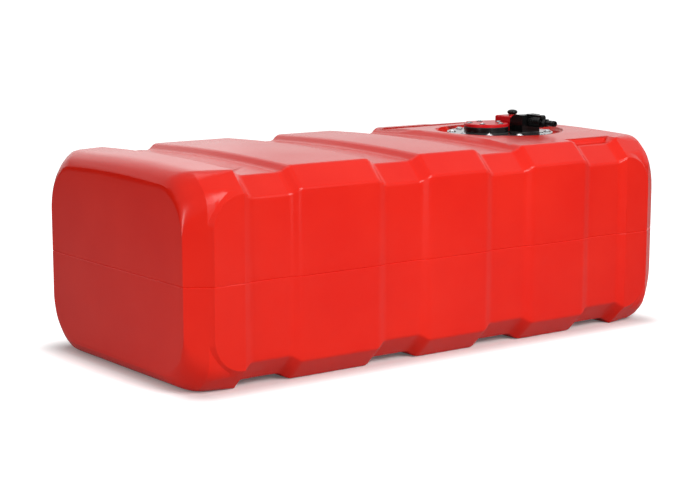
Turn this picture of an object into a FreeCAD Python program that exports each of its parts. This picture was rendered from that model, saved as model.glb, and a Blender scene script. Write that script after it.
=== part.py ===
import FreeCAD, Part
import math
import os
import Sketcher
from FreeCAD import Rotation, Vector

doc = FreeCAD.newDocument("FuelTank")

# Driving dimensions in millimetres
sizes = {
    "tank_length": 885, "tank_width": 416.6, "tank_height": 300, "wall": 5, "crown": 4.5, "crown_share": 0.9,
    "top_chamfer": 29, "base_chamfer": 31, "edge_radius": 8,
    "end_band": 82, "wide_band": 136, "band": 109,
    "groove_ramp": 13, "groove_top": 9, "groove_side": 5.5, "groove_base": 9, "groove_cut": 0.4,
    "shoulder_length": 38, "shoulder_drop": 27, "shoulder_steps": 6, "end_chamfer": 39.5, "end_radius": 59.5,
    "strip_length": 31, "strip_inset": 20, "panel_height": 4.3, "panel_width": 48, "panel_radius": 47,
    "deck_half": 161,
    "recess_inset": 165, "recess_radius": 103, "recess_depth": 9,
    "opening_radius": 58, "boss_width": 24, "boss_depth": 18,
    "gasket_thick": 3, "plate_radius": 86, "plate_thick": 2,
    "bolt_count": 10, "bolt_circle": 77.5, "bolt_radius": 3, "bolt_length": 16, "bolt_head": 5.2,
    "bolt_head_height": 2.8, "washer_radius": 6.3, "washer_thick": 1, "insert_radius": 5,
    "insert_length": 14, "bolt_gap": 0.3,
    "port_offset": 30, "port_radius": 36, "port_bore": 22, "seal_thick": 1.5, "base_height": 8,
    "cover_seal": 1, "cover_thick": 5, "screw_count": 5, "screw_circle": 27, "screw_radius": 2.5,
    "screw_length": 20, "screw_head": 3.9, "screw_head_height": 1.6,
    "cover_washer": 4.8, "cover_washer_thick": 0.8,
    "head_offset": 27, "head_width": 38, "head_near": 15, "head_far": 20.5, "outlet_depth": 30,
    "valve_height": 23.5, "head_chamfer": 1.5,
    "outlet_height": 27.5, "outlet_round": 14, "line_height": 16.5, "line_bore": 3.5,
    "plug_radius": 6, "plug_length": 8.4, "stem_radius": 3.2, "stem_gap": 0.3, "run_gap": 0.05,
    "ring_wire": 0.9, "knob_radius": 8.6, "knob_height": 7.6, "knob_waist": 6.6, "neck_height": 1.4,
    "knob_gap": 0.4,
    "tail_radius": 8, "tail_drop": 14, "nipple_radius": 4.6, "nipple_drop": 30,
    "tube_radius": 6, "tube_wall": 1.4, "strainer_radius": 12, "strainer_height": 34,
    "strainer_gap": 1, "tube_grip": 16, "slot_count": 12, "slot_width": 2.4,
    "stud_radius": 2, "stud_length": 12, "stud_head": 3.5, "stud_head_height": 2.4,
    "stud_x": 11, "stud_y": 7, "socket_share": 0.5, "socket_floor": 0.45,
    "spigot_radius": 4.6, "spigot_length": 13, "spigot_gap": 0.1, "coupling_radius": 6.8, "block_gap": 1,
    "rib_count": 6, "rib_step": 4.2, "rib_depth": 0.8, "groove_share": 0.35, "waist_radius": 4.8,
    "waist_length": 5.5, "shank_radius": 3.2, "shank_length": 10,
    "barb_radius": 4.9, "barb_root": 4.4, "barb_count": 3, "barb_step": 6.2, "barb_crest": 0.3,
    "barb_land": 0.42, "barb_bore": 2.2,
    "hex_radius": 7, "hex_length": 6,
    "lever_width": 9, "lever_thick": 4.6, "hook_length": 3, "hook_gap": 0.5, "lever_height": 26,
    "lever_reach": 4.2, "lever_cut": 2.5, "ear_thick": 3, "ear_gap": 0.3, "ear_radius": 2.8,
    "pin_radius": 1.25, "pin_gap": 0.05,
}
sheet = doc.addObject("Spreadsheet::Sheet", "Sizes")
for row, (alias, value) in enumerate(sizes.items(), start=1):
    sheet.set("A%d" % row, alias)
    sheet.set("B%d" % row, str(value))
    sheet.setAlias("B%d" % row, alias)

# Heights and places that follow from the driving dimensions
derived = {
    "groove_width": "=(tank_length - 2 * end_band - wide_band - 2 * band) / 4",
    "recess_centre": "=tank_length / 2 - recess_inset",
    "deck": "=tank_height + crown",
    "floor": "=deck - recess_depth",
    "seat": "=floor + gasket_thick",
    "plate_top": "=seat + plate_thick",
    "port_x": "=recess_centre - port_offset",
    "head_x": "=recess_centre + head_offset",
    "cover_base": "=plate_top + seal_thick + base_height + cover_seal",
    "cover_top": "=cover_base + cover_thick",
    "line_z": "=plate_top + seal_thick + line_height",
    "head_base": "=plate_top + seal_thick",
    "head_front": "=0 - head_near - outlet_depth",
    "coupling_start": "=head_front - block_gap",
    "rib_length": "=rib_count * rib_step",
    "waist_start": "=coupling_start - rib_length",
    "barb_start": "=waist_start - waist_length",
    "lever_y": "=head_front - lever_reach",
    "stud_depth": "=stud_length - seal_thick - plate_thick + run_gap",
    "strainer_floor": "=groove_base + wall + strainer_gap",
    "tube_floor": "=strainer_floor + strainer_height - tube_grip",
    "lever_z": "=head_base + lever_height",
}
for row, (alias, formula) in enumerate(derived.items(), start=len(sizes) + 1):
    sheet.set("A%d" % row, alias)
    sheet.set("B%d" % row, formula)
    sheet.setAlias("B%d" % row, alias)
doc.recompute()


def size(name):
    return float(sheet.get(name))


def bound(text):
    # Every name of the sheet in an expression gets the sheet's own prefix
    words = []
    word = ""
    for letter in text + " ":
        if letter.isalnum() or letter == "_":
            word += letter
            continue
        if word in sizes or word in derived:
            word = "Sizes." + word
        words.append(word + letter)
        word = ""
    return "".join(words).strip()


def value(text):
    return float(sheet.evalExpression(bound(text)))


def new_body(name, x="0", y="0", z="0"):
    body = doc.addObject("PartDesign::Body", name)
    body.Label = name
    body.Placement = FreeCAD.Placement(Vector(value(x), value(y), value(z)), Rotation())
    for axis, text in (("x", x), ("y", y), ("z", z)):
        body.setExpression("Placement.Base." + axis, bound(text))
    return body


def datum(body, role):
    for feature in body.Origin.OriginFeatures:
        if feature.Role == role:
            return feature


def new_sketch(body, name, role):
    sketch = body.newObject("Sketcher::SketchObject", name)
    sketch.AttachmentSupport = [(datum(body, role), "")]
    sketch.MapMode = "FlatFace"
    return sketch


def pin_point(sketch, geometry, end, x, y):
    # A point of the outline is held on an axis or at its own bound distances
    if x == "0":
        sketch.addConstraint(Sketcher.Constraint("PointOnObject", geometry, end, -2))
    else:
        number = sketch.addConstraint(Sketcher.Constraint("DistanceX", -1, 1, geometry, end, value(x)))
        sketch.setExpression("Constraints[%d]" % number, bound(x))
    if y == "0":
        sketch.addConstraint(Sketcher.Constraint("PointOnObject", geometry, end, -1))
    else:
        number = sketch.addConstraint(Sketcher.Constraint("DistanceY", -1, 1, geometry, end, value(y)))
        sketch.setExpression("Constraints[%d]" % number, bound(y))


def outline(sketch, points):
    places = [Vector(value(x), value(y), 0) for x, y in points]
    count = len(points)
    first = sketch.GeometryCount
    for i in range(count):
        sketch.addGeometry(Part.LineSegment(places[i], places[(i + 1) % count]), False)
    for i in range(count):
        following = first + (i + 1) % count
        sketch.addConstraint(Sketcher.Constraint("Coincident", first + i, 2, following, 1))
        pin_point(sketch, first + i, 1, *points[i])


def circle(sketch, x, y, radius):
    centre = Vector(value(x), value(y), 0)
    geometry = sketch.addGeometry(Part.Circle(centre, Vector(0, 0, 1), value(radius)), False)
    pin_point(sketch, geometry, 3, x, y)
    number = sketch.addConstraint(Sketcher.Constraint("Radius", geometry, value(radius)))
    sketch.setExpression("Constraints[%d]" % number, bound(radius))


def turned(body, name, points):
    # Points are radius and height pairs in the XZ plane, turned about the body's Z axis
    sketch = new_sketch(body, name + "Profile", "XZ_Plane")
    outline(sketch, points)
    feature = body.newObject("PartDesign::Revolution", name)
    feature.Profile = sketch
    feature.ReferenceAxis = (sketch, ["V_Axis"])
    feature.Angle = 360
    body.Tip = feature
    return feature


def straight(kind, body, name, role, points, length, base, reverse):
    # Straight pad or pocket of an outline or of one circle, started at its own height above the plane
    sketch = new_sketch(body, name + "Outline", role)
    sketch.AttachmentOffset = FreeCAD.Placement(Vector(0, 0, value(base)), Rotation())
    sketch.setExpression("AttachmentOffset.Base.z", bound(base))
    if len(points) == 1:
        circle(sketch, *points[0])
    else:
        outline(sketch, points)
    feature = body.newObject(kind, name)
    feature.Profile = sketch
    feature.Length = value(length)
    feature.setExpression("Length", bound(length))
    feature.Reversed = reverse
    body.Tip = feature
    return feature


def raised(body, name, role, points, length, base="0", reverse=False):
    return straight("PartDesign::Pad", body, name, role, points, length, base, reverse)


def sunk(body, name, role, points, length, base="0", reverse=False):
    return straight("PartDesign::Pocket", body, name, role, points, length, base, reverse)


def ringed(body, name, feature, count):
    pattern = body.newObject("PartDesign::PolarPattern", name)
    pattern.Originals = [feature]
    pattern.Axis = (datum(body, "Z_Axis"), [""])
    pattern.Angle = 360
    pattern.Occurrences = int(value(count))
    pattern.setExpression("Occurrences", bound(count))
    body.Tip = pattern
    return pattern


# Rounded outline in a plane across the tank, from corner points and their radii
def rounded_wire(x, corners):
    edges = []
    count = len(corners)
    spans = []
    for i in range(count):
        before = Vector(x, *corners[i - 1][:2])
        here = Vector(x, *corners[i][:2])
        after = Vector(x, *corners[(i + 1) % count][:2])
        back = (before - here).normalize()
        ahead = (after - here).normalize()
        half = math.acos(max(-1.0, min(1.0, back.dot(ahead)))) / 2
        radius = corners[i][2]
        reach = radius / math.tan(half)
        middle = here + (back + ahead).normalize() * (radius / math.sin(half) - radius)
        spans.append((here + back * reach, middle, here + ahead * reach))
    for i in range(count):
        start, middle, finish = spans[i]
        edges.append(Part.Arc(start, middle, finish).toShape())
        edges.append(Part.LineSegment(finish, spans[(i + 1) % count][0]).toShape())
    return Part.Wire(edges)


# One cross-section of the tank: half width, top, bottom, chamfers and corner radius
def tank_section(x, half, top, bottom, top_cut, base_cut, radius):
    # The crown is one long arc between the rounded corners, a little more than half its roof's height
    corner_reach = radius * math.tan(math.radians(22.5))
    flat = half - top_cut
    crown_reach = size("crown_share") * (flat - corner_reach)
    rise = size("crown") / (1 - crown_reach / flat / 2)
    crown_radius = crown_reach / math.tan(math.atan2(rise, flat))
    return rounded_wire(x, [
        (half - top_cut, top, radius), (0, top + rise, crown_radius), (top_cut - half, top, radius),
        (-half, top - top_cut, radius), (-half, bottom + base_cut, radius),
        (base_cut - half, bottom, radius), (half - base_cut, bottom, radius),
        (half, bottom + base_cut, radius), (half, top - top_cut, radius),
    ])


def band_section(x, inset, sink, skin):
    # Inset 0 is a band's crest and 1 a groove's floor; skin moves the section inwards
    side = sink + inset * size("groove_side") + skin
    top_drop = inset * size("groove_top") + skin
    base_rise = inset * size("groove_base") + skin
    half = size("tank_width") / 2 - side
    corner = skin * (2 - math.sqrt(2))
    eased = inset * (size("groove_top") - size("groove_side")) * size("groove_cut")
    top_cut = size("top_chamfer") - sink - corner - eased
    base_cut = size("base_chamfer") - sink - corner
    top = size("tank_height") - top_drop
    return tank_section(x, half, top, base_rise, top_cut, base_cut, size("edge_radius"))


def band_edges():
    # Crest starts and ends of the three middle bands, between the two end bands
    groove = size("groove_width")
    x = size("end_band") - size("tank_length") / 2
    edges = []
    for width in (size("wide_band"), size("band"), size("band")):
        x += groove
        edges.append((x, x + width))
        x += width
    return edges


def middle_loft(skin):
    end = size("tank_length") / 2 - size("end_band")
    ramp = size("groove_ramp")
    sections = [band_section(-end, 0, 0, skin), band_section(ramp - end, 1, 0, skin)]
    for start, finish in band_edges():
        sections.append(band_section(start - ramp, 1, 0, skin))
        sections.append(band_section(start, 0, 0, skin))
        sections.append(band_section(finish, 0, 0, skin))
        sections.append(band_section(finish + ramp, 1, 0, skin))
    sections.append(band_section(end - ramp, 1, 0, skin))
    sections.append(band_section(end, 0, 0, skin))
    return Part.makeLoft(sections, True, True)


def end_loft(skin, side):
    # The end band runs out through a rounded shoulder into the flat end face
    outer = size("tank_length") / 2 - skin
    start = size("tank_length") / 2 - size("end_band")
    shoulder = outer - size("shoulder_length") + skin
    sections = [band_section(side * start, 0, size("panel_height"), skin)]
    steps = int(size("shoulder_steps"))
    for i in range(steps + 1):
        turn = math.radians(90 * i / steps)
        x = shoulder + (outer - shoulder) * math.sin(turn)
        drop = (size("shoulder_drop") - skin / 2) * (1 - math.cos(turn))
        strip = max(0.0, x - (outer - size("strip_length"))) / size("strip_length")
        half = size("tank_width") / 2 - size("panel_height") - skin - strip * size("strip_inset")
        grown = (x - start) / (outer - start)
        cut = size("top_chamfer") - size("panel_height") - skin * (2 - math.sqrt(2))
        cut = cut + (size("end_chamfer") - size("top_chamfer")) * grown
        radius = size("edge_radius") + (size("end_radius") - size("edge_radius") - skin) * grown
        top = size("tank_height") - skin - drop
        sections.append(tank_section(side * x, half, top, skin + drop, cut, cut, radius))
    return Part.makeLoft(sections, True, True)


def panel_wire(end, y, grow):
    # Outline in a plane along the tank: square at the groove, two round corners at the end
    inner = size("tank_length") / 2 - size("end_band")
    outer = inner + size("panel_width") + grow
    low = size("base_chamfer") - grow
    high = size("tank_height") - size("top_chamfer") + grow
    radius = size("panel_radius") + grow
    root = math.sqrt(0.5) * radius

    def spot(x, z):
        return Vector(end * x, y, z)

    return Part.Wire([
        Part.LineSegment(spot(inner, low), spot(outer - radius, low)).toShape(),
        Part.Arc(spot(outer - radius, low), spot(outer - radius + root, low + radius - root),
                 spot(outer, low + radius)).toShape(),
        Part.LineSegment(spot(outer, low + radius), spot(outer, high - radius)).toShape(),
        Part.Arc(spot(outer, high - radius), spot(outer - radius + root, high - radius + root),
                 spot(outer - radius, high)).toShape(),
        Part.LineSegment(spot(outer - radius, high), spot(inner, high)).toShape(),
        Part.LineSegment(spot(inner, high), spot(inner, low)).toShape(),
    ])


def side_panel(end, side):
    # Raised panel with sloping edges on the long side of an end band
    crest = size("tank_width") / 2
    sunk_by = size("panel_height") + size("wall") / 2
    wide = panel_wire(end, side * (crest - sunk_by), sunk_by)
    narrow = panel_wire(end, side * crest, 0)
    panel = Part.makeLoft([wide, narrow], True, True)
    if panel.Volume < 0:
        panel.reverse()
    return panel


def disc(radius, bottom, top, x):
    return Part.makeCylinder(radius, top - bottom, Vector(x, 0, bottom))


def deck_block(skin):
    # Flat deck between the last two bands, as high as the bands are
    start = band_edges()[-1][1]
    end = size("tank_length") / 2 - size("end_band")
    crest = Part.Face(band_section(start, 0, 0, skin)).extrude(Vector(end - start, 0, 0))
    half = size("deck_half") - skin
    height = 3 * size("groove_top")
    corner = Vector(start, -half, size("tank_height") + skin - height)
    return crest.common(Part.makeBox(end - start, 2 * half, height + size("crown") * 2, corner))


def recess_floor():
    # Floor and boss of the recess, left solid inside the hollow
    floor = size("floor")
    centre = size("recess_centre")
    reach = size("opening_radius") + size("boss_width") + size("wall")
    wall = size("wall")
    pan = disc(size("recess_radius") + wall, floor - wall, size("deck") + wall, centre)
    return pan.fuse(disc(reach, floor - size("boss_depth"), floor, centre))


def insert_holes():
    holes = []
    for i in range(int(size("bolt_count"))):
        turn = 2 * math.pi * i / size("bolt_count")
        spot = Vector(size("recess_centre") + size("bolt_circle") * math.cos(turn),
                      size("bolt_circle") * math.sin(turn), size("floor") - size("insert_length"))
        holes.append(Part.makeCylinder(size("insert_radius"), 2 * size("insert_length"), spot))
    return holes


def tank_shell():
    outer = middle_loft(0).fuse([end_loft(0, 1), end_loft(0, -1)])
    outer = outer.fuse([side_panel(end, side) for end in (1, -1) for side in (1, -1)])
    outer = outer.fuse(deck_block(0)).removeSplitter()
    wall = size("wall")
    hollow = middle_loft(wall).fuse([end_loft(wall, 1), end_loft(wall, -1)])
    hollow = hollow.fuse(deck_block(wall)).removeSplitter().cut(recess_floor())
    floor = size("floor")
    centre = size("recess_centre")
    recess = disc(size("recess_radius"), floor, size("deck") + wall, centre)
    opening = disc(size("opening_radius"), floor - 2 * size("boss_depth"), floor + wall, centre)
    node = doc.addObject("Part::Feature", "tank_shell")
    node.Label = "tank_shell"
    node.Shape = outer.cut(hollow).cut(recess.fuse(opening)).cut(insert_holes())
    node.Placement = FreeCAD.Placement()
    return node


def group(name, shape_maker, count, circle_radius, x, z):
    # Identical fasteners spaced evenly on a circle, as separate solids of one node
    copies = []
    for i in range(int(size(count))):
        copy = shape_maker()
        copy.translate(Vector(size(circle_radius), 0, 0))
        copy.rotate(Vector(), Vector(0, 0, 1), 360 * i / size(count))
        copies.append(copy)
    node = doc.addObject("Part::Feature", name)
    node.Label = name
    node.Shape = Part.makeCompound(copies)
    node.Placement = FreeCAD.Placement(Vector(size(x), 0, size(z)), Rotation())
    return node


def ring_solid(outer, inner, bottom, top):
    ring = Part.makeCylinder(outer, top - bottom, Vector(0, 0, bottom))
    if inner > 0:
        ring = ring.cut(Part.makeCylinder(inner, top - bottom + 2, Vector(0, 0, bottom - 1)))
    return ring


def domed_screw(shank, length, head, height):
    # Button head: a low dome with a hex socket over a plain shank, its underside at zero
    dome_radius = (head ** 2 + height ** 2) / (2 * height)
    ball = Part.makeSphere(dome_radius, Vector(0, 0, height - dome_radius))
    dome = ball.common(Part.makeCylinder(head, height))
    corner = Vector(head * size("socket_share"), 0, height * size("socket_floor"))
    corners = [Rotation(Vector(0, 0, 1), 60 * i).multVec(corner) for i in range(7)]
    socket = Part.Face(Part.makePolygon(corners)).extrude(Vector(0, 0, height))
    rod = Part.makeCylinder(shank, length, Vector(0, 0, -length))
    return dome.cut(socket).fuse(rod)


def boss_inserts():
    # Threaded bushes moulded into the boss, blind at the bottom
    def bush():
        solid = ring_solid(size("insert_radius"), 0, -size("insert_length"), 0)
        bore = size("bolt_radius") + size("run_gap")
        start = Vector(0, 0, 1 - size("insert_length"))
        return solid.cut(Part.makeCylinder(bore, size("insert_length"), start))
    return group("boss_inserts", bush, "bolt_count", "bolt_circle", "recess_centre", "floor")


def stud_spots():
    # Four screws from below, two in the valve body and two in the outlet block
    rows = ("stud_y", "0 - stud_y - outlet_depth")
    return [(side + "stud_x", y) for side in ("0 - ", "0 + ") for y in rows]


def ring_body(name, x, z, outer, inner, thick):
    body = new_body(name, x, "0", z)
    turned(body, name + "Ring", [(inner, "0"), (outer, "0"), (outer, thick), (inner, thick)])
    return body


def bolt_holes(body, name, thick):
    hole = [("bolt_circle", "0", "bolt_radius + bolt_gap")]
    ringed(body, name + "Ring", sunk(body, name, "XY_Plane", hole, thick, reverse=True), "bolt_count")
    return body


def flange_gasket():
    body = ring_body("flange_gasket", "recess_centre", "floor", "plate_radius", "opening_radius",
                     "gasket_thick")
    return bolt_holes(body, "GasketHole", "gasket_thick")


def flange_plate():
    body = new_body("flange_plate", "recess_centre", "0", "seat")
    rim = "plate_radius"
    turned(body, "PlateDisc", [("0", "0"), (rim, "0"), (rim, "plate_thick"), ("0", "plate_thick")])
    holes = [("0 - port_offset", "0", "port_bore"), ("head_offset", "0", "tail_radius + bolt_gap")]
    for i in range(int(size("screw_count"))):
        turn = "360 deg * %d / screw_count" % i
        x = "screw_circle * cos(%s) - port_offset" % turn
        holes.append((x, "screw_circle * sin(%s)" % turn, "screw_radius + bolt_gap"))
    for x, y in stud_spots():
        holes.append(("head_offset + " + x, y, "stud_radius + bolt_gap"))
    for i, hole in enumerate(holes):
        sunk(body, "Hole%d" % i, "XY_Plane", [hole], "plate_thick", reverse=True)
    return bolt_holes(body, "PlateHole", "plate_thick")


def flange_washers():
    def washer():
        hole = size("bolt_radius") + size("bolt_gap")
        return ring_solid(size("washer_radius"), hole, 0, size("washer_thick"))
    return group("flange_washers", washer, "bolt_count", "bolt_circle", "recess_centre", "plate_top")


def flange_bolts():
    def bolt():
        head = size("bolt_head")
        screw = domed_screw(size("bolt_radius"), size("bolt_length"), head, size("bolt_head_height"))
        screw.translate(Vector(0, 0, size("washer_thick")))
        return screw
    return group("flange_bolts", bolt, "bolt_count", "bolt_circle", "recess_centre", "plate_top")


def port_stack():
    # Gasket, black ring, thin seal and red cover, each with the same five screw holes
    hole = ("screw_circle", "0", "screw_radius + bolt_gap")
    rows = [("port_gasket", "plate_top", "port_bore", "seal_thick"),
            ("port_base", "plate_top + seal_thick", "port_bore", "base_height"),
            ("cover_gasket", "plate_top + seal_thick + base_height", "port_bore", "cover_seal")]
    bodies = []
    for name, z, inner, thick in rows:
        body = ring_body(name, "port_x", z, "port_radius", inner, thick)
        feature = sunk(body, name + "Hole", "XY_Plane", [hole], thick, reverse=True)
        ringed(body, name + "Holes", feature, "screw_count")
        bodies.append(body)
    cover = new_body("port_cover", "port_x", "0", "cover_base")
    side = "port_radius"
    turned(cover, "CoverDisc", [("0", "0"), (side, "0"), (side, "cover_thick * 4 / 5"),
                                (side + " - cover_thick / 5", "cover_thick"), ("0", "cover_thick")])
    feature = sunk(cover, "CoverHole", "XY_Plane", [hole], "cover_thick", reverse=True)
    ringed(cover, "CoverHoles", feature, "screw_count")
    bodies.append(cover)
    return bodies


def cover_washers():
    # Black sealing washers under the cover's screws
    def washer():
        hole = size("screw_radius") + size("bolt_gap")
        return ring_solid(size("cover_washer"), hole, 0, size("cover_washer_thick"))
    return group("cover_washers", washer, "screw_count", "screw_circle", "port_x", "cover_top")


def cover_screws():
    def screw():
        head = size("screw_head")
        screw = domed_screw(size("screw_radius"), size("screw_length"), head, size("screw_head_height"))
        screw.translate(Vector(0, 0, size("cover_washer_thick")))
        return screw
    return group("cover_screws", screw, "screw_count", "screw_circle", "port_x", "cover_top")


def box_points(x0, x1, y0, y1):
    return [(x0, y0), (x1, y0), (x1, y1), (x0, y1)]


def block_points(near, far):
    # Rectangle of the head's width between two places along Y
    return box_points("0 - head_width / 2", "head_width / 2", near, far)


def stud_holes(body, near, far, depth, radius):
    # Holes for the screws whose place lies between two places along Y
    for i, (x, y) in enumerate(stud_spots()):
        if value(near) < value(y) < value(far):
            sunk(body, "StudHole%d" % i, "XY_Plane", [(x, y, radius)], depth, reverse=True)


def chamfered_top(body, name, feature, height):
    # Small chamfer round the top face of a block
    doc.recompute()
    edges = []
    for number, edge in enumerate(feature.Shape.Edges, start=1):
        if abs(edge.BoundBox.ZMin - value(height)) < 1e-6 and edge.Curve.TypeId == "Part::GeomLine":
            edges.append("Edge%d" % number)
    chamfer = body.newObject("PartDesign::Chamfer", name)
    chamfer.Base = (feature, edges)
    chamfer.Size = value("head_chamfer")
    chamfer.setExpression("Size", bound("head_chamfer"))
    body.Tip = chamfer


def head_gasket():
    # One gasket under the valve body and the outlet block
    body = new_body("head_gasket", "head_x", "0", "plate_top")
    raised(body, "HeadGasketPad", "XY_Plane", block_points("head_front", "head_far"), "seal_thick")
    sunk(body, "TailGap", "XY_Plane", [("0", "0", "tail_radius + bolt_gap")], "seal_thick", reverse=True)
    stud_holes(body, "head_front", "head_far", "seal_thick", "stud_radius + bolt_gap")
    return body


def valve_body():
    # Block with a hose tail below, an open bore for the plug and a cross bore for the line
    body = new_body("valve_body", "head_x", "0", "head_base")
    block = raised(body, "ValveBlock", "XY_Plane", block_points("0 - head_near", "head_far"),
                   "valve_height")
    chamfered_top(body, "ValveChamfer", block, "valve_height")
    raised(body, "ValveTail", "XY_Plane", [("0", "0", "tail_radius")], "tail_drop", reverse=True)
    raised(body, "ValveNipple", "XY_Plane", [("0", "0", "nipple_radius")], "nipple_drop", reverse=True)
    sunk(body, "PlugBore", "XY_Plane", [("0", "0", "plug_radius + run_gap")], "valve_height",
         "line_height - plug_length / 2 - stem_gap", True)
    sunk(body, "DropBore", "XY_Plane", [("0", "0", "line_bore")], "nipple_drop + line_height",
         "0 - nipple_drop", True)
    sunk(body, "CrossBore", "XZ_Plane", [("0", "line_height", "line_bore")], "head_near", "0", True)
    stud_holes(body, "0 - head_near", "head_far", "stud_depth", "stud_radius")
    return body


def valve_plug():
    # Plug with an elbow bore from below to the front, and the stem that carries the knob
    body = new_body("valve_plug", "head_x", "0", "line_z")
    low = "0 - plug_length / 2"
    stem_top = "valve_height - line_height + neck_height + knob_gap + knob_height / 2"
    turned(body, "PlugTurned", [("0", low), ("plug_radius", low), ("plug_radius", "plug_length / 2"),
                                ("stem_radius", "plug_length / 2"), ("stem_radius", stem_top), ("0", stem_top)])
    sunk(body, "PlugDrop", "XY_Plane", [("0", "0", "line_bore")], "plug_length / 2", low, True)
    sunk(body, "PlugCross", "XZ_Plane", [("0", "0", "line_bore")], "plug_radius", "0", True)
    return body


def torus(name, x, y, z, centre_radius, wire, along):
    # Rubber ring about an axis along Z, or along Y in the hose line
    ring = doc.addObject("Part::Torus", name)
    ring.Label = name
    ring.setExpression("Radius1", bound(centre_radius))
    ring.setExpression("Radius2", bound(wire))
    turn = Rotation() if along == "z" else Rotation(Vector(1, 0, 0), 90)
    ring.Placement = FreeCAD.Placement(Vector(value(x), value(y), value(z)), turn)
    for axis, text in (("x", x), ("y", y), ("z", z)):
        ring.setExpression("Placement.Base." + axis, bound(text))
    return ring


def valve_gland():
    # Ring that closes the plug bore and rises as the neck under the knob
    body = new_body("valve_gland", "head_x", "0", "head_base + valve_height + neck_height")
    low = "line_height + plug_length / 2 + 2 * ring_wire + stem_gap - valve_height - neck_height"
    turned(body, "GlandTurned", [("stem_radius + run_gap", low), ("plug_radius", low), ("plug_radius", "0"),
                                 ("stem_radius + run_gap", "0")])
    return body


def valve_knob():
    # Domed knob, drawn in a little below, pressed on the stem
    body = new_body("valve_knob", "head_x", "0", "head_base + valve_height + neck_height + knob_gap")
    points = [("stem_radius", "0"), ("knob_waist", "0"), ("knob_radius * 0.9", "knob_height * 0.22"),
              ("knob_radius", "knob_height * 0.42"), ("knob_radius * 0.97", "knob_height * 0.62"),
              ("knob_radius * 0.84", "knob_height * 0.8"), ("knob_radius * 0.6", "knob_height * 0.93"),
              ("knob_radius * 0.3", "knob_height"), ("0", "knob_height"), ("0", "knob_height / 2"),
              ("stem_radius", "knob_height / 2")]
    turned(body, "KnobTurned", points)
    return body


def outlet_block():
    # Block in front of the valve, rounded at its upper rear edge, with a spigot and two ears
    body = new_body("outlet_block", "head_x", "0", "head_base")
    block = raised(body, "OutletPad", "XY_Plane", block_points("head_front", "0 - head_near"),
                   "outlet_height")
    doc.recompute()
    rear = []
    for number, edge in enumerate(block.Shape.Edges, start=1):
        box = edge.BoundBox
        if abs(box.ZMin - size("outlet_height")) < 1e-6 and abs(box.YMin + size("head_near")) < 1e-6:
            rear.append("Edge%d" % number)
    rounding = body.newObject("PartDesign::Fillet", "OutletRound")
    rounding.Base = (block, rear)
    rounding.Radius = size("outlet_round")
    rounding.setExpression("Radius", bound("outlet_round"))
    body.Tip = rounding
    raised(body, "Spigot", "XZ_Plane", [("0", "line_height", "spigot_radius")], "spigot_length",
           "0 - head_front")
    for side, sign in (("Left", "0 - "), ("Right", "")):
        near = sign + "(lever_width / 2 + ear_gap)"
        far = sign + "(lever_width / 2 + ear_gap + ear_thick)"
        reach = "lever_y - ear_radius"
        raised(body, "Ear" + side, "XY_Plane", box_points(near, far, reach, "head_front + ear_radius"),
               "2 * ear_radius", "lever_height - ear_radius")
    sunk(body, "PinHole", "YZ_Plane", [("lever_y", "lever_height", "pin_radius")],
         "lever_width + 2 * ear_gap + 2 * ear_thick", "0 - lever_width / 2 - ear_gap - ear_thick", True)
    sunk(body, "LineBore", "XZ_Plane", [("0", "line_height", "barb_bore")], "outlet_depth + spigot_length",
         "head_near", True)
    stud_holes(body, "head_front", "0 - head_near", "stud_depth", "stud_radius")
    return body


def head_screws():
    # Pan heads under the plate, shanks up into the two blocks
    screws = []
    for x, y in stud_spots():
        rod = Part.makeCylinder(size("stud_radius"), size("stud_length"))
        tall = size("stud_head_height")
        head = Part.makeCylinder(size("stud_head"), tall, Vector(0, 0, -tall))
        screw = rod.fuse(head)
        screw.translate(Vector(value(x), value(y), 0))
        screws.append(screw)
    node = doc.addObject("Part::Feature", "head_screws")
    node.Label = "head_screws"
    node.Shape = Part.makeCompound(screws)
    node.Placement = FreeCAD.Placement(Vector(size("head_x"), 0, size("seat")), Rotation())
    return node


def along_line(body):
    # The body's Z axis is laid along the hose line, pointing away from the outlet block
    body.Placement = FreeCAD.Placement(body.Placement.Base, Rotation(Vector(1, 0, 0), 90))


def coupling_body():
    # Ribbed sleeve pushed over the spigot, with a waist that the latch hooks behind
    body = new_body("coupling_body", "head_x", "coupling_start", "line_z")
    inner = "spigot_radius + spigot_gap"
    root = "coupling_radius - rib_depth"
    points = [(inner, "0")]
    for i in range(int(size("rib_count"))):
        start = "rib_step * %d" % i
        groove = start + " + rib_step * (1 - groove_share)"
        points += [("coupling_radius", start), ("coupling_radius", groove), (root, groove),
                   (root, start + " + rib_step")]
    points[-2:] = [("coupling_radius", "rib_length")]
    points += [("waist_radius", "rib_length"), ("waist_radius", "rib_length + waist_length"),
               ("shank_radius", "rib_length + waist_length"),
               ("shank_radius", "rib_length + waist_length - shank_length"),
               (inner, "rib_length + waist_length - shank_length")]
    turned(body, "CouplingTurned", points)
    along_line(body)
    return body


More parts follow.
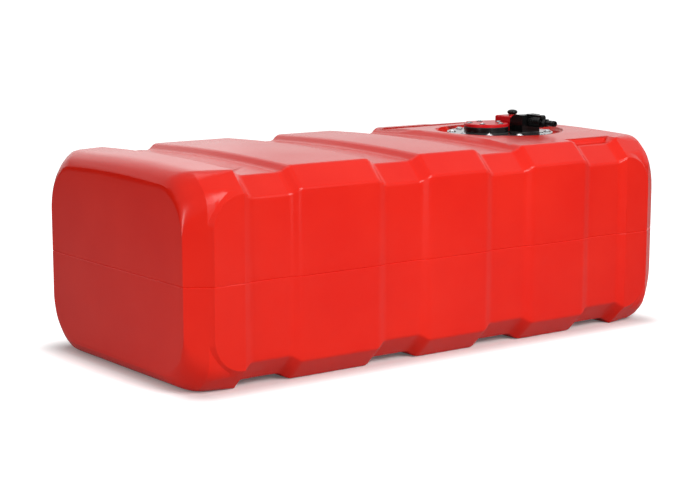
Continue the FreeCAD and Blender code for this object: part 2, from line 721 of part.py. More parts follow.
def hose_barb():
    # Hexagon collar with a screwed shank behind and three hose rings in front
    body = new_body("hose_barb", "head_x", "barb_start", "line_z")
    hexagon = [("hex_radius * cos(60 deg * %d)" % i, "hex_radius * sin(60 deg * %d)" % i) for i in range(6)]
    hexagon[0] = ("hex_radius", "0")
    hexagon[3] = ("0 - hex_radius", "0")
    raised(body, "BarbHex", "XY_Plane", hexagon, "hex_length")
    points = [("barb_bore", "0 - shank_length"), ("shank_radius", "0 - shank_length"),
              ("shank_radius", "hex_length / 2"), ("barb_root", "hex_length / 2"), ("barb_root", "hex_length")]
    for i in range(int(size("barb_count"))):
        foot = "hex_length + barb_step * %d" % i
        points += [("barb_radius", foot + " + barb_step * barb_crest"),
                   ("barb_radius", foot + " + barb_step * barb_land"),
                   ("barb_root", foot + " + barb_step")]
    points += [("barb_bore", "hex_length + barb_step * barb_count")]
    turned(body, "BarbTurned", points)
    sunk(body, "BarbBore", "XY_Plane", [("0", "0", "barb_bore")], "hex_length + barb_step * barb_count",
         reverse=True)
    along_line(body)
    return body


def latch_lever():
    # Flat lever turning on its pin, with a hook that drops behind the coupling's last rib
    body = new_body("latch_lever", "head_x", "lever_y", "lever_z")
    half = "lever_thick / 2"
    tip = "waist_start - lever_y - hook_gap - hook_length"
    heel = "waist_start - lever_y - hook_gap"
    drop = "line_height - lever_height + waist_radius + hook_gap"
    base = "0 - lever_width / 2"
    raised(body, "LeverEye", "YZ_Plane", [("0", "0", half)], "lever_width", base)
    points = [("0", "0 - " + half), ("0", half), (tip + " + lever_cut", half), (tip, half + " - lever_cut"),
              (tip, drop), (heel, drop), (heel, "0 - " + half)]
    raised(body, "LeverArm", "YZ_Plane", points, "lever_width", base)
    sunk(body, "LeverHole", "YZ_Plane", [("0", "0", "pin_radius + pin_gap")], "lever_width", base, True)
    return body


def lever_pin():
    pin = doc.addObject("Part::Cylinder", "lever_pin")
    pin.Label = "lever_pin"
    length = "lever_width + 2 * ear_gap + 2 * ear_thick"
    pin.setExpression("Radius", bound("pin_radius"))
    pin.setExpression("Height", bound(length))
    pin.Placement = FreeCAD.Placement(Vector(0, 0, 0), Rotation(Vector(0, 1, 0), 90))
    start = "head_x - (%s) / 2" % length
    for axis, text in (("x", start), ("y", "lever_y"), ("z", "lever_z")):
        pin.setExpression("Placement.Base." + axis, bound(text))
    return pin


def dip_tube():
    # Hose-grade tube pushed on the nipple, down to the strainer
    body = new_body("dip_tube", "head_x", "0", "tube_floor")
    top = "head_base - tail_drop - stem_gap - tube_floor"
    turned(body, "TubeTurned", [("tube_radius - tube_wall", "0"), ("tube_radius", "0"), ("tube_radius", top),
                                ("tube_radius - tube_wall", top)])
    return body


def strainer():
    # Cup with slots round its wall, gripping the foot of the tube
    body = new_body("strainer", "head_x", "0", "strainer_floor")
    skin = "tube_wall"
    points = [("0", "0"), ("strainer_radius", "0"), ("strainer_radius", "strainer_height"),
              ("tube_radius", "strainer_height"), ("tube_radius", "strainer_height - 2 * tube_wall"),
              ("strainer_radius - " + skin, "strainer_height - 2 * tube_wall"),
              ("strainer_radius - " + skin, skin), ("0", skin)]
    turned(body, "StrainerTurned", points)
    window = box_points("0 - slot_width / 2", "slot_width / 2", "tube_wall * 3",
                        "strainer_height - tube_wall * 4")
    slot = sunk(body, "Slot", "XZ_Plane", window, "strainer_radius", reverse=True)
    ringed(body, "Slots", slot, "slot_count")
    return body


parts = [tank_shell(), boss_inserts(), flange_gasket(), flange_plate(), flange_washers(), flange_bolts()]
parts += port_stack()
parts += [cover_washers(), cover_screws(), head_gasket()]
parts += [valve_body(), valve_plug(), valve_gland(), valve_knob()]
parts.append(torus("plug_ring", "head_x", "0", "line_z + plug_length / 2 + ring_wire",
                   "stem_radius + ring_wire + run_gap", "ring_wire", "z"))
parts += [outlet_block(), head_screws(), coupling_body(), hose_barb(), latch_lever(), lever_pin()]
parts += [dip_tube(), strainer()]
doc.recompute()

for item in doc.Objects:
    if "Invalid" in item.State or "Error" in item.State:
        raise RuntimeError("failed object " + item.Name)
for item in parts:
    if item.Shape.isNull() or not item.Shape.isValid():
        raise RuntimeError("bad shape in " + item.Label)
    print(item.Label, len(item.Shape.Solids), round(item.Shape.Volume / 1000, 3))

os.makedirs("parts", exist_ok=True)
for item in parts:
    item.Shape.exportStep("parts/%s.step" % item.Label)
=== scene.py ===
import bpy
import bmesh
import math
from mathutils import Matrix, Vector


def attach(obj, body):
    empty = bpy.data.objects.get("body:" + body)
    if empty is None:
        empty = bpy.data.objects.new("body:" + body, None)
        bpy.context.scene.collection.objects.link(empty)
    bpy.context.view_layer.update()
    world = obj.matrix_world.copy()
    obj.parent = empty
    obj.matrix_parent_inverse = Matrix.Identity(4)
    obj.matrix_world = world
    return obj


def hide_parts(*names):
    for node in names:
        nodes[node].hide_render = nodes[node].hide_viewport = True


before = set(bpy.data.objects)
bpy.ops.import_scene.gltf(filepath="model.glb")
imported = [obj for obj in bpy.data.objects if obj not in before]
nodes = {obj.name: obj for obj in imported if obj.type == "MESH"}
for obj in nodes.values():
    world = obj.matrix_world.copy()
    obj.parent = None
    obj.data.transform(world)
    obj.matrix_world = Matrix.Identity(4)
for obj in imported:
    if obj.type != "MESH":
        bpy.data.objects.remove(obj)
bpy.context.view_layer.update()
print("frame loaded:", len(nodes), "nodes")

# Camera, matched to the photograph
viewpoint = {
    "place": (-1.5926, -2.0750, 0.5701),
    "tilt": 80.481,
    "heading": -37.002,
    "roll": 0.058,
    "lens": 87.75,
    "sensor": 36.0,
    "sees": 60.0,
}


def addCamera():
    data = bpy.data.cameras.new("photoCamera")
    data.lens = viewpoint["lens"]
    data.sensor_width = viewpoint["sensor"]
    data.sensor_fit = "HORIZONTAL"
    data.clip_end = viewpoint["sees"]
    camera = bpy.data.objects.new("photoCamera", data)
    bpy.context.scene.collection.objects.link(camera)
    camera.location = viewpoint["place"]
    turn = Matrix.Rotation(math.radians(viewpoint["heading"]), 4, "Z")
    turn = turn @ Matrix.Rotation(math.radians(viewpoint["tilt"]), 4, "X")
    turn = turn @ Matrix.Rotation(math.radians(viewpoint["roll"]), 4, "Z")
    camera.rotation_euler = turn.to_euler()
    bpy.context.scene.camera = camera


addCamera()
print("camera set")

# Studio: soft lamps, each with its place, target, size, power and spread, and a pale floor whose
# glow is held low round the tank as a painted shadow
studio = {
    "lamps": [
        ("keySoftbox", (0.15, -1.75, 1.2), (0.0, -0.1, 0.15), (1.0, 1.0), 13.0, 2.1),
        ("frontStrip", (-0.1, -1.75, 0.45), (0.0, -0.15, 0.2), (0.25, 0.8), 2.4, 3.1),
        ("endStrip", (-1.96, -0.58, 0.42), (-0.42, -0.12, 0.18), (0.22, 0.75), 9.0, 3.1),
        ("rearSoftbox", (0.5, 2.5, 1.25), (0.0, 0.0, 0.2), (1.8, 1.2), 3.0, 3.1),
        ("topSoftbox", (-0.2, 0.3, 2.4), (0.0, 0.0, 0.2), (1.6, 1.2), 11.0, 3.1),
    ],
    "air": (1.0, 1.0, 1.0, 1.0),
    "ambient": 0.17,
    "floorReach": 60.0,
    "floorColour": (0.86, 0.86, 0.86),
    "floorBounce": (0.50, 0.50, 0.50),
    # the floor's glow is low beside the tank's footprint and full further out: a painted shadow
    # round the tank
    "footprint": (0.41, 0.18),
    "paintedShadowGlow": 0.08,
    "farGlow": 1.0,
    "paintedShadowSpan": (0.0, 0.09),
    "glowInGloss": 0.20,
    "flag": {
        "place": (-2.6, 1.9, 0.7), "size": 3.6, "height": 0.42,
        "upright": 90.0, "turn": 40.0, "colour": (0.02, 0.02, 0.02),
    },
}


def aimed(start, target):
    return (Vector(target) - Vector(start)).to_track_quat("-Z", "Y").to_euler()


def addLamps():
    for name, place, target, size, power, spread in studio["lamps"]:
        data = bpy.data.lights.new(name, "AREA")
        data.shape = "RECTANGLE"
        data.size, data.size_y = size
        data.energy = power
        data.spread = spread
        lamp = bpy.data.objects.new(name, data)
        bpy.context.scene.collection.objects.link(lamp)
        lamp.location = place
        lamp.rotation_euler = aimed(place, target)


def newMaterial(name):
    material = bpy.data.materials.new(name)
    material.use_nodes = True
    tree = material.node_tree
    tree.nodes.clear()
    return material, tree


def node(tree, kind, place=(0, 0), **settings):
    made = tree.nodes.new(kind)
    made.location = place
    for key, value in settings.items():
        setattr(made, key, value)
    return made


def join(tree, source, target):
    tree.links.new(source, target)


def feed(tree, socket, value):
    # a socket is linked, a number or colour is set
    if isinstance(value, bpy.types.NodeSocket):
        join(tree, value, socket)
    else:
        socket.default_value = value


def maths(tree, operation, place, *values):
    made = node(tree, "ShaderNodeMath", place, operation=operation)
    for socket, value in zip(made.inputs, values):
        feed(tree, socket, value)
    return made.outputs[0]


def vectors(tree, operation, place, *values):
    made = node(tree, "ShaderNodeVectorMath", place, operation=operation)
    for socket, value in zip(made.inputs, values):
        feed(tree, socket, value)
    return made.outputs["Value" if operation == "LENGTH" else "Vector"]


def remap(tree, value, span, into, place, **settings):
    made = node(tree, "ShaderNodeMapRange", place, **settings)
    join(tree, value, made.inputs["Value"])
    made.inputs["From Min"].default_value, made.inputs["From Max"].default_value = span
    made.inputs["To Min"].default_value, made.inputs["To Max"].default_value = into
    return made.outputs["Result"]


mixColours = {"first": 6, "second": 7, "result": 2}  # a Mix node's colour sockets


def blended(tree, mask, first, second, place):
    made = node(tree, "ShaderNodeMix", place, data_type="RGBA")
    join(tree, mask, made.inputs["Factor"])
    for key, value in (("first", first), ("second", second)):
        colour = (*value, 1.0) if isinstance(value, tuple) else value
        feed(tree, made.inputs[mixColours[key]], colour)
    return made.outputs[mixColours["result"]]


def dressWorld():
    # the picture's background is plain white to the eye, and to gloss and glass
    world = bpy.data.worlds.new("studioAir")
    bpy.context.scene.world = world
    world.use_nodes = True
    tree = world.node_tree
    tree.nodes.clear()
    ambient = node(tree, "ShaderNodeBackground", (-100, 100))
    ambient.inputs["Color"].default_value = studio["air"]
    ambient.inputs["Strength"].default_value = studio["ambient"]
    white = node(tree, "ShaderNodeBackground", (-100, -100))
    white.inputs["Color"].default_value = studio["air"]
    path = node(tree, "ShaderNodeLightPath", (-600, 300)).outputs
    either = maths(tree, "MAXIMUM", (-400, 300), path["Is Camera Ray"], path["Is Glossy Ray"])
    seen = maths(tree, "MAXIMUM", (-200, 300), either, path["Is Transmission Ray"])
    choice = node(tree, "ShaderNodeMixShader", (150, 0))
    out = node(tree, "ShaderNodeOutputWorld", (350, 0))
    for number, source in enumerate((seen, ambient.outputs[0], white.outputs[0])):
        join(tree, source, choice.inputs[number])
    join(tree, choice.outputs[0], out.inputs[0])


def addFloor():
    # pale paper that keeps the tank's real shadow, glows to plain white away from it, and has a
    # painted shadow round the tank's footprint where its glow is held low
    bpy.ops.object.select_all(action="DESELECT")
    bpy.ops.mesh.primitive_plane_add(size=studio["floorReach"])
    floor = bpy.context.object
    floor.name = "studioFloor"
    material, tree = newMaterial("paperFloor")
    path = node(tree, "ShaderNodeLightPath", (-900, 300)).outputs
    shade = blended(
        tree, path["Is Camera Ray"], studio["floorBounce"], studio["floorColour"], (-300, 200))
    paper = node(tree, "ShaderNodeBsdfDiffuse", (-100, 200))
    join(tree, shade, paper.inputs["Color"])
    # painted shadow: the glow rises from low at the tank's footprint to plain white further out
    spot = node(tree, "ShaderNodeTexCoord", (-1300, -100)).outputs["Object"]
    size = vectors(tree, "ABSOLUTE", (-1100, -100), spot)
    outside = vectors(tree, "SUBTRACT", (-900, -100), size, (*studio["footprint"], 0.0))
    clear = vectors(tree, "MAXIMUM", (-700, -100), outside)
    reach = vectors(tree, "LENGTH", (-500, -100), clear)
    spread = remap(
        tree, reach, studio["paintedShadowSpan"], (studio["paintedShadowGlow"], studio["farGlow"]), (-300, -100),
        interpolation_type="SMOOTHSTEP")
    inGloss = maths(
        tree, "MAXIMUM", (-700, -350), path["Is Glossy Ray"], path["Is Transmission Ray"])
    dimmed = maths(tree, "MULTIPLY", (-500, -350), inGloss, studio["glowInGloss"])
    seen = maths(tree, "MAXIMUM", (-300, -350), path["Is Camera Ray"], dimmed)
    level = maths(tree, "MULTIPLY", (-100, -350), spread, seen)
    glow = node(tree, "ShaderNodeEmission", (100, -100))
    join(tree, level, glow.inputs["Strength"])
    both = node(tree, "ShaderNodeAddShader", (300, 0))
    out = node(tree, "ShaderNodeOutputMaterial", (500, 0))
    join(tree, paper.outputs[0], both.inputs[0])
    join(tree, glow.outputs[0], both.inputs[1])
    join(tree, both.outputs[0], out.inputs["Surface"])
    floor.data.materials.append(material)


def addFlag():
    # a black flag, out of every view, that deepens the reflection in the shaded end
    flag = studio["flag"]
    bpy.ops.object.select_all(action="DESELECT")
    bpy.ops.mesh.primitive_plane_add(size=flag["size"])
    sheet = bpy.context.object
    sheet.name = "studioFlag"
    bpy.ops.object.mode_set(mode="EDIT")
    bpy.ops.transform.resize(value=(1.0, flag["height"], 1.0))
    bpy.ops.object.mode_set(mode="OBJECT")
    sheet.location = flag["place"]
    sheet.rotation_euler = (math.radians(flag["upright"]), 0, math.radians(flag["turn"]))
    material, tree = newMaterial("flagCloth")
    cloth = node(tree, "ShaderNodeBsdfDiffuse", (0, 0))
    cloth.inputs["Color"].default_value = (*flag["colour"], 1)
    out = node(tree, "ShaderNodeOutputMaterial", (200, 0))
    join(tree, cloth.outputs[0], out.inputs["Surface"])
    sheet.data.materials.append(material)
    sheet.visible_camera = False
    sheet.visible_diffuse = False
    sheet.visible_shadow = False
    sheet.visible_transmission = False


addLamps()
addFlag()
dressWorld()
addFloor()
bpy.context.scene.view_settings.view_transform = "Standard"
print("studio lit")


# Shader groups that the finishes share
def newGroup(name, inputs, outputs):
    group = bpy.data.node_groups.new(name, "ShaderNodeTree")
    for label, kind, value in inputs:
        socket = group.interface.new_socket(name=label, in_out="INPUT", socket_type=kind)
        socket.default_value = value
    for label in outputs:
        group.interface.new_socket(name=label, in_out="OUTPUT", socket_type="NodeSocketFloat")
    start = node(group, "NodeGroupInput", (-900, 0))
    end = node(group, "NodeGroupOutput", (900, 0))
    return group, start.outputs, end.inputs


def texture(tree, kind, vector, scale, place, **values):
    made = node(tree, kind, place)
    join(tree, vector, made.inputs["Vector"])
    feed(tree, made.inputs["Scale"], scale)
    for key, value in values.items():
        made.inputs[key].default_value = value
    return made.outputs


def sumOf(tree, first, second, share, place):
    return maths(tree, "MULTIPLY_ADD", place, second, share, first)


mouldGrain = {
    "scale": 900.0, "detail": 3.0, "cloudScale": 9.0, "cloudDetail": 5.0,
    "pebbleSpan": (0.0, 0.6), "pebbleShare": 0.5,
}


def buildGrain():
    # fine pebble of a mould, with slow clouding
    look = mouldGrain
    group, start, end = newGroup(
        "mouldGrain",
        [("Grain Scale", "NodeSocketFloat", look["scale"]),
         ("Cloud Scale", "NodeSocketFloat", look["cloudScale"])],
        ["Cloud", "Grain", "Height"],
    )
    place = node(group, "ShaderNodeTexCoord", (-900, 300)).outputs["Object"]
    fine = start["Grain Scale"]
    cloud = texture(
        group, "ShaderNodeTexNoise", place, start["Cloud Scale"], (-600, 300),
        Detail=look["cloudDetail"])
    grain = texture(
        group, "ShaderNodeTexNoise", place, fine, (-600, 0), Detail=look["detail"])
    pebble = texture(group, "ShaderNodeTexVoronoi", place, fine, (-600, -300))
    pebbles = remap(group, pebble["Distance"], look["pebbleSpan"], (0.0, 1.0), (-350, -300))
    height = sumOf(group, grain["Fac"], pebbles, look["pebbleShare"], (0, -100))
    join(group, cloud["Fac"], end["Cloud"])
    join(group, grain["Fac"], end["Grain"])
    join(group, height, end["Height"])
    return group


handlingScuffs = {
    "scale": 20.0, "amount": 0.5, "stretch": (1.0, 30.0, 30.0), "lineSpan": (0.66, 0.76),
    "turns": [(0.3, 0.2, 0.5), (1.1, 0.4, 2.0), (0.2, 1.3, 3.4)],
    "patchScale": 11.0, "patchDetail": 3.0, "patchSpan": (0.5, 0.7),
}


def buildScuffs():
    # fine rubbed lines in several directions, thinned out by a patchy mask
    look = handlingScuffs
    group, start, end = newGroup(
        "handlingScuffs",
        [("Scale", "NodeSocketFloat", look["scale"]),
         ("Amount", "NodeSocketFloat", look["amount"])],
        ["Mask"],
    )
    place = node(group, "ShaderNodeTexCoord", (-900, 300)).outputs["Object"]
    lines = None
    for step, turn in enumerate(look["turns"]):
        level = 300 - 300 * step
        lay = node(group, "ShaderNodeMapping", (-700, level))
        lay.inputs["Rotation"].default_value = turn
        join(group, place, lay.inputs["Vector"])
        drawn = vectors(group, "MULTIPLY", (-580, level), lay.outputs[0], look["stretch"])
        streak = texture(group, "ShaderNodeTexNoise", drawn, start["Scale"], (-450, level))
        thin = remap(group, streak["Fac"], look["lineSpan"], (0.0, 1.0), (-200, level))
        lines = thin if lines is None else maths(group, "MAXIMUM", (0, level), lines, thin)
    patch = texture(
        group, "ShaderNodeTexNoise", place, look["patchScale"], (-450, -700),
        Detail=look["patchDetail"])
    patches = remap(group, patch["Fac"], look["patchSpan"], (0.0, 1.0), (-200, -700))
    masked = maths(group, "MULTIPLY", (300, 0), lines, patches)
    scaled = maths(group, "MULTIPLY", (500, 0), masked, start["Amount"])
    join(group, scaled, end["Mask"])
    return group


turnedMarks = {"scale": 1500.0, "detail": 4.0, "cloudScale": 60.0, "level": (1.0, 1.0, 0.0)}


def buildTurned():
    # rings of fine turning marks round an upright axis
    look = turnedMarks
    group, start, end = newGroup(
        "turnedMarks",
        [("Centre", "NodeSocketVector", (0.0, 0.0, 0.0)),
         ("Scale", "NodeSocketFloat", look["scale"])],
        ["Marks", "Cloud"],
    )
    place = node(group, "ShaderNodeTexCoord", (-900, 300)).outputs["Object"]
    shift = vectors(group, "SUBTRACT", (-700, 200), place, start["Centre"])
    flat = vectors(group, "MULTIPLY", (-500, 200), shift, look["level"])
    reach = vectors(group, "LENGTH", (-300, 200), flat)
    ring = node(group, "ShaderNodeCombineXYZ", (-100, 200))
    join(group, reach, ring.inputs["X"])
    marks = texture(
        group, "ShaderNodeTexNoise", ring.outputs[0], start["Scale"], (100, 200),
        Detail=look["detail"])
    cloud = texture(
        group, "ShaderNodeTexNoise", place, look["cloudScale"], (100, -100),
        Detail=look["detail"])
    join(group, marks["Fac"], end["Marks"])
    join(group, cloud["Fac"], end["Cloud"])
    return group


grainGroup = buildGrain()
scuffGroup = buildScuffs()
turnedGroup = buildTurned()

# How far the groups' clouds, marks and scuffs reach into every finish
wear = {
    "cloudSpan": (0.35, 0.65),
    "roughSpan": (0.3, 0.7),
    "scuffHeight": -0.3,
    "metalScuffScale": 60.0,
}


def placed(tree, group, place, **values):
    made = node(tree, "ShaderNodeGroup", place)
    made.node_tree = group
    for key, value in values.items():
        made.inputs[key.replace("_", " ")].default_value = value
    return made.outputs


def surface(tree, colour, rough, height, depth, **constants):
    shader = node(tree, "ShaderNodeBsdfPrincipled", (500, 0))
    out = node(tree, "ShaderNodeOutputMaterial", (800, 0))
    bump = node(tree, "ShaderNodeBump", (300, -300))
    bump.inputs["Distance"].default_value = depth
    join(tree, height, bump.inputs["Height"])
    join(tree, bump.outputs[0], shader.inputs["Normal"])
    join(tree, colour, shader.inputs["Base Color"])
    join(tree, rough, shader.inputs["Roughness"])
    for key, value in constants.items():
        shader.inputs[key.replace("_", " ")].default_value = value
    join(tree, shader.outputs[0], out.inputs["Surface"])


def wornColour(tree, cloud, mask, look):
    spread = remap(tree, cloud, wear["cloudSpan"], (0.0, 1.0), (-400, 200))
    body = blended(tree, spread, look["colour"], look["shade"], (-150, 200))
    return blended(tree, mask, body, look["worn"], (100, 200))


def plastic(name, look):
    material, tree = newMaterial(name)
    grain = placed(
        tree, grainGroup, (-600, 100), Grain_Scale=look["grain"], Cloud_Scale=look["cloud"])
    mask = placed(
        tree, scuffGroup, (-600, -300), Scale=look["scuffScale"], Amount=look["scuffs"])["Mask"]
    colour = wornColour(tree, grain["Cloud"], mask, look)
    rough = remap(tree, grain["Cloud"], wear["roughSpan"], look["rough"], (-150, 0))
    rubbed = sumOf(tree, rough, mask, look["rub"], (100, 0))
    height = sumOf(tree, grain["Height"], mask, wear["scuffHeight"], (100, -250))
    surface(tree, colour, rubbed, height, look["depth"], Specular_IOR_Level=look["gloss"])
    return material


def metal(name, look):
    material, tree = newMaterial(name)
    marks = placed(tree, turnedGroup, (-600, 100), Centre=look["centre"], Scale=look["marks"])
    mask = placed(
        tree, scuffGroup, (-600, -300), Scale=wear["metalScuffScale"],
        Amount=look["scuffs"])["Mask"]
    colour = wornColour(tree, marks["Cloud"], mask, look)
    rough = remap(tree, marks["Marks"], wear["roughSpan"], look["rough"], (-150, 0))
    surface(tree, colour, rough, marks["Marks"], look["depth"], Metallic=1.0)
    return material


shellRed = {
    "colour": (0.80, 0.018, 0.007), "shade": (0.76, 0.013, 0.005), "worn": (0.84, 0.06, 0.04),
    "grain": 1100.0, "cloud": 7.0, "scuffScale": 14.0, "scuffs": 0.10,
    "rough": (0.215, 0.258), "rub": 0.01, "depth": 0.00003, "gloss": 0.22,
}
glossRed = {
    "colour": (0.66, 0.008, 0.014), "shade": (0.58, 0.006, 0.010), "worn": (0.75, 0.12, 0.10),
    "grain": 2600.0, "cloud": 40.0, "scuffScale": 40.0, "scuffs": 0.3,
    "rough": (0.285, 0.34), "rub": 0.1, "depth": 0.00001, "gloss": 0.2,
}
blackNylon = {
    "colour": (0.003, 0.003, 0.0032), "shade": (0.006, 0.006, 0.0063), "worn": (0.03, 0.03, 0.03),
    "grain": 2400.0, "cloud": 30.0, "scuffScale": 40.0, "scuffs": 0.3,
    "rough": (0.16, 0.23), "rub": 0.03, "depth": 0.000015, "gloss": 0.20,
}
softRubber = {
    "colour": (0.018, 0.018, 0.018), "shade": (0.03, 0.03, 0.029), "worn": (0.06, 0.06, 0.06),
    "grain": 3000.0, "cloud": 50.0, "scuffScale": 50.0, "scuffs": 0.2,
    "rough": (0.62, 0.78), "rub": 0.05, "depth": 0.00002, "gloss": 0.35,
}
naturalPlastic = {
    "colour": (0.76, 0.74, 0.68), "shade": (0.68, 0.66, 0.60), "worn": (0.55, 0.53, 0.48),
    "grain": 2400.0, "cloud": 30.0, "scuffScale": 40.0, "scuffs": 0.3,
    "rough": (0.36, 0.46), "rub": 0.1, "depth": 0.00002, "gloss": 0.5,
}
plateSteel = {
    "colour": (0.36, 0.36, 0.37), "shade": (0.27, 0.27, 0.28), "worn": (0.50, 0.50, 0.50),
    "centre": (0.2775, 0.0, 0.3005), "marks": 1800.0, "scuffs": 0.4,
    "rough": (0.16, 0.26), "depth": 0.00001,
}
boltSteel = dict(plateSteel, marks=3600.0, rough=(0.14, 0.24), colour=(0.56, 0.56, 0.57))
machinedBrass = dict(
    plateSteel, marks=3000.0, scuffs=0.3, rough=(0.29, 0.38),
    colour=(0.72, 0.49, 0.19), shade=(0.60, 0.39, 0.14), worn=(0.80, 0.62, 0.32))

finishes = {
    "shellRed": plastic("shellRed", shellRed),
    "glossRed": plastic("glossRed", glossRed),
    "blackNylon": plastic("blackNylon", blackNylon),
    "softRubber": plastic("softRubber", softRubber),
    "naturalPlastic": plastic("naturalPlastic", naturalPlastic),
    "plateSteel": metal("plateSteel", plateSteel),
    "boltSteel": metal("boltSteel", boltSteel),
    "machinedBrass": metal("machinedBrass", machinedBrass),
}

nodeFinish = {
    "tank_shell": "shellRed",
    "boss_inserts": "machinedBrass",
    "flange_gasket": "softRubber",
    "flange_plate": "plateSteel",
    "flange_washers": "boltSteel",
    "flange_bolts": "boltSteel",
    "port_gasket": "softRubber",
    "port_base": "blackNylon",
    "cover_gasket": "softRubber",
    "port_cover": "glossRed",
    "cover_washers": "softRubber",
    "cover_screws": "boltSteel",
    "head_gasket": "softRubber",
    "valve_body": "glossRed",
    "valve_plug": "machinedBrass",
    "valve_gland": "glossRed",
    "valve_knob": "blackNylon",
    "plug_ring": "softRubber",
    "outlet_block": "blackNylon",
    "head_screws": "boltSteel",
    "coupling_body": "blackNylon",
    "hose_barb": "blackNylon",
    "latch_lever": "blackNylon",
    "lever_pin": "boltSteel",
    "dip_tube": "naturalPlastic",
    "strainer": "naturalPlastic",
}

for name, finish in nodeFinish.items():
    for slot in nodes[name].material_slots:
        slot.material = finishes[finish]
print("finishes assigned")

# How a CAD node's loose triangles become a clean mesh
cleaning = {"merge": 0.00001, "flat": 0.4}


def selectOnly(piece):
    bpy.ops.object.select_all(action="DESELECT")
    bpy.context.view_layer.objects.active = piece
    piece.select_set(True)


def editOnly(piece):
    selectOnly(piece)
    bpy.ops.object.mode_set(mode="EDIT")
    bpy.ops.mesh.select_all(action="SELECT")


def copyOf(name, newName):
    piece = nodes[name].copy()
    piece.data = nodes[name].data.copy()
    piece.name = newName
    piece.data.name = newName
    for collection in nodes[name].users_collection:
        collection.objects.link(piece)
    editOnly(piece)
    bpy.ops.mesh.remove_doubles(threshold=cleaning["merge"])
    bpy.ops.mesh.dissolve_limited(angle_limit=math.radians(cleaning["flat"]))
    bpy.ops.mesh.select_all(action="DESELECT")
    bpy.ops.object.mode_set(mode="OBJECT")
    return piece


def bevelled(piece, width, rings, clamped, **limits):
    bevel = piece.modifiers.new("easedEdges", "BEVEL")
    bevel.width = width
    bevel.segments = rings
    bevel.use_clamp_overlap = clamped
    bevel.miter_outer = "MITER_ARC"
    for key, value in limits.items():
        setattr(bevel, key, value)
    bpy.context.view_layer.objects.active = piece
    bpy.ops.object.modifier_apply(modifier=bevel.name)


def polished(piece, smooth, crispLevels=()):
    selectOnly(piece)
    bpy.ops.object.shade_smooth_by_angle(angle=math.radians(smooth))
    for level in crispLevels:
        sharpenLine(piece, level)
    weigh = piece.modifiers.new("evenNormals", "WEIGHTED_NORMAL")
    weigh.keep_sharp = True
    bpy.ops.object.modifier_apply(modifier=weigh.name)


def standsFor(piece, name, body):
    piece.data.materials.clear()
    piece.data.materials.append(finishes[nodeFinish[name]])
    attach(piece, body)
    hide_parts(name)


# Tank shell: the CAD shell with its mould edges eased and its parting seam
shellEdges = {
    "sharpest": 17.0,
    "smooth": 30.0,
    "rings": 3,
    "bandStart": 0.3595,
    "bandWidth": 0.0060,
    "crestWidth": 0.0048,
    "middle": 0.15,
    "outward": 0.02,
    "recess": {"x": (0.155, 0.400), "y": 0.112, "z": (0.28, 0.3035)},
}
partingSeam = {"height": 0.1500, "halfWidth": 0.0011, "depth": 0.0009, "near": 0.00002}


def seamLevels():
    middle, reach = partingSeam["height"], partingSeam["halfWidth"]
    return (middle - reach, middle, middle + reach)


def onLine(point, level):
    # on the outer skin, at this height
    outside = point.normal.x * point.co.x + point.normal.y * point.co.y > 0
    return abs(point.co.z - level) < partingSeam["near"] and outside


def cutSeam(piece):
    # three level cuts round the outer skin, the middle one drawn in
    for level in seamLevels():
        editOnly(piece)
        bpy.ops.mesh.bisect(plane_co=(0, 0, level), plane_no=(0, 0, 1))
        bpy.ops.mesh.select_all(action="DESELECT")
        bpy.ops.object.mode_set(mode="OBJECT")
    for point in piece.data.vertices:
        point.select = onLine(point, partingSeam["height"])
    bpy.ops.object.mode_set(mode="EDIT")
    bpy.ops.transform.shrink_fatten(value=-partingSeam["depth"])
    bpy.ops.object.mode_set(mode="OBJECT")


def sharpenLine(piece, level):
    # a seam line stays crisp under the smooth shading
    for edge in piece.data.edges:
        if all(onLine(piece.data.vertices[number], level) for number in edge.vertices):
            edge.use_edge_sharp = True


def onSkin(point):
    # outside of the wall, and clear of the holes in the recess floor
    spot, normal, recess = point.co, point.normal, shellEdges["recess"]
    low, high = recess["x"]
    bottom, rim = recess["z"]
    inRecess = low < spot.x < high and abs(spot.y) < recess["y"] and bottom < spot.z < rim
    outward = normal.y * spot.y + normal.z * (spot.z - shellEdges["middle"]) + normal.x * spot.x
    return outward > shellEdges["outward"] and not inRecess


def easeShell(piece, inBands, width):
    # the end bands and the crests between them are eased by different widths
    mesh = piece.data
    shape = bmesh.new()
    shape.from_mesh(mesh)
    turns = {edge.index: edge.calc_face_angle(0.0) for edge in shape.edges}
    shape.free()
    old = mesh.attributes.get("bevel_weight_edge")
    if old:
        mesh.attributes.remove(old)
    weights = mesh.attributes.new("bevel_weight_edge", "FLOAT", "EDGE")
    for edge in mesh.edges:
        ends = [mesh.vertices[number] for number in edge.vertices]
        reach = [abs(end.co.x) > shellEdges["bandStart"] for end in ends]
        wanted = all(reach) if inBands else not any(reach)
        crisp = turns[edge.index] > math.radians(shellEdges["sharpest"])
        if wanted and crisp and all(onSkin(end) for end in ends):
            weights.data[edge.index].value = 1.0
    bevelled(piece, width, shellEdges["rings"], inBands, limit_method="WEIGHT")


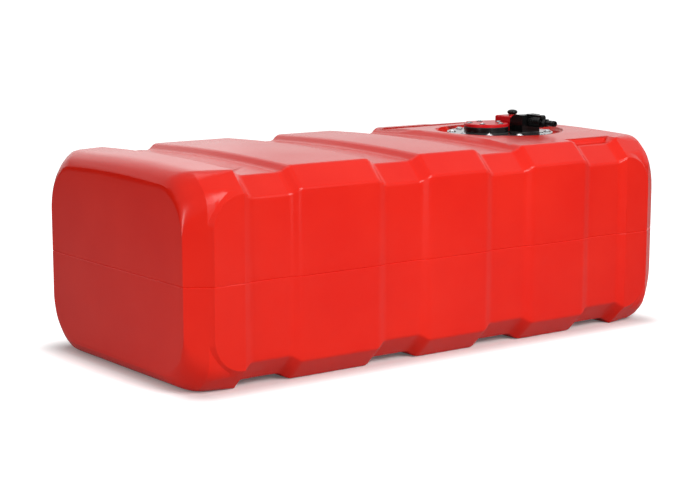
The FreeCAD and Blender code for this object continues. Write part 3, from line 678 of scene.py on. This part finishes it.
redShell = copyOf("tank_shell", "redShell")
easeShell(redShell, True, shellEdges["bandWidth"])
easeShell(redShell, False, shellEdges["crestWidth"])
cutSeam(redShell)
polished(redShell, shellEdges["smooth"], seamLevels())
standsFor(redShell, "tank_shell", "tank")
print("tank shell eased:", len(redShell.data.polygons), "faces")

# Fittings: each CAD solid with its moulded or machined edges eased
fittingEdges = {
    "flange_plate": ("flangePlate", "tank", 0.0006),
    "flange_bolts": ("flangeBolts", "tank", 0.0004),
    "flange_washers": ("flangeWashers", "tank", 0.0002),
    "port_base": ("portBase", "tank", 0.0010),
    "port_cover": ("portCover", "tank", 0.0007),
    "cover_washers": ("coverWashers", "tank", 0.0002),
    "cover_screws": ("coverScrews", "tank", 0.0003),
    "valve_body": ("valveBody", "tank", 0.0009),
    "valve_gland": ("valveGland", "tank", 0.0004),
    "outlet_block": ("outletBlock", "tank", 0.0011),
    "coupling_body": ("couplingBody", "tank", 0.0004),
    "hose_barb": ("hoseBarb", "tank", 0.0002),
    "valve_knob": ("valveKnob", "tap", 0.0006),
    "latch_lever": ("latchLever", "latch", 0.0006),
}
fittingStyle = {"rings": 2, "sharpest": 32.0, "smooth": 35.0}

# the sleeve's ribs are fuller than its waist and sit a little low on the line
fullSleeve = {
    "line": (0.3045, 0.3185), "waist": 0.0055, "rear": -0.0720,
    "centre": (0.3045, -0.058, 0.3165), "swell": 1.34,
}


def fillSleeve(piece):
    lineX, lineZ = fullSleeve["line"]
    for point in piece.data.vertices:
        fromLine = math.hypot(point.co.x - lineX, point.co.z - lineZ)
        point.select = point.co.y > fullSleeve["rear"] and fromLine > fullSleeve["waist"]
    bpy.ops.object.mode_set(mode="EDIT")
    bpy.ops.transform.resize(
        value=(fullSleeve["swell"], 1.0, fullSleeve["swell"]), center_override=fullSleeve["centre"])
    bpy.ops.object.mode_set(mode="OBJECT")


for name, (newName, body, width) in fittingEdges.items():
    piece = copyOf(name, newName)
    if name == "coupling_body":
        fillSleeve(piece)
    bevelled(
        piece, width, fittingStyle["rings"], True,
        limit_method="ANGLE", angle_limit=math.radians(fittingStyle["sharpest"]))
    polished(piece, fittingStyle["smooth"])
    standsFor(piece, name, body)
    print(newName, "eased:", len(piece.data.polygons), "faces")

print("pieces dressed")
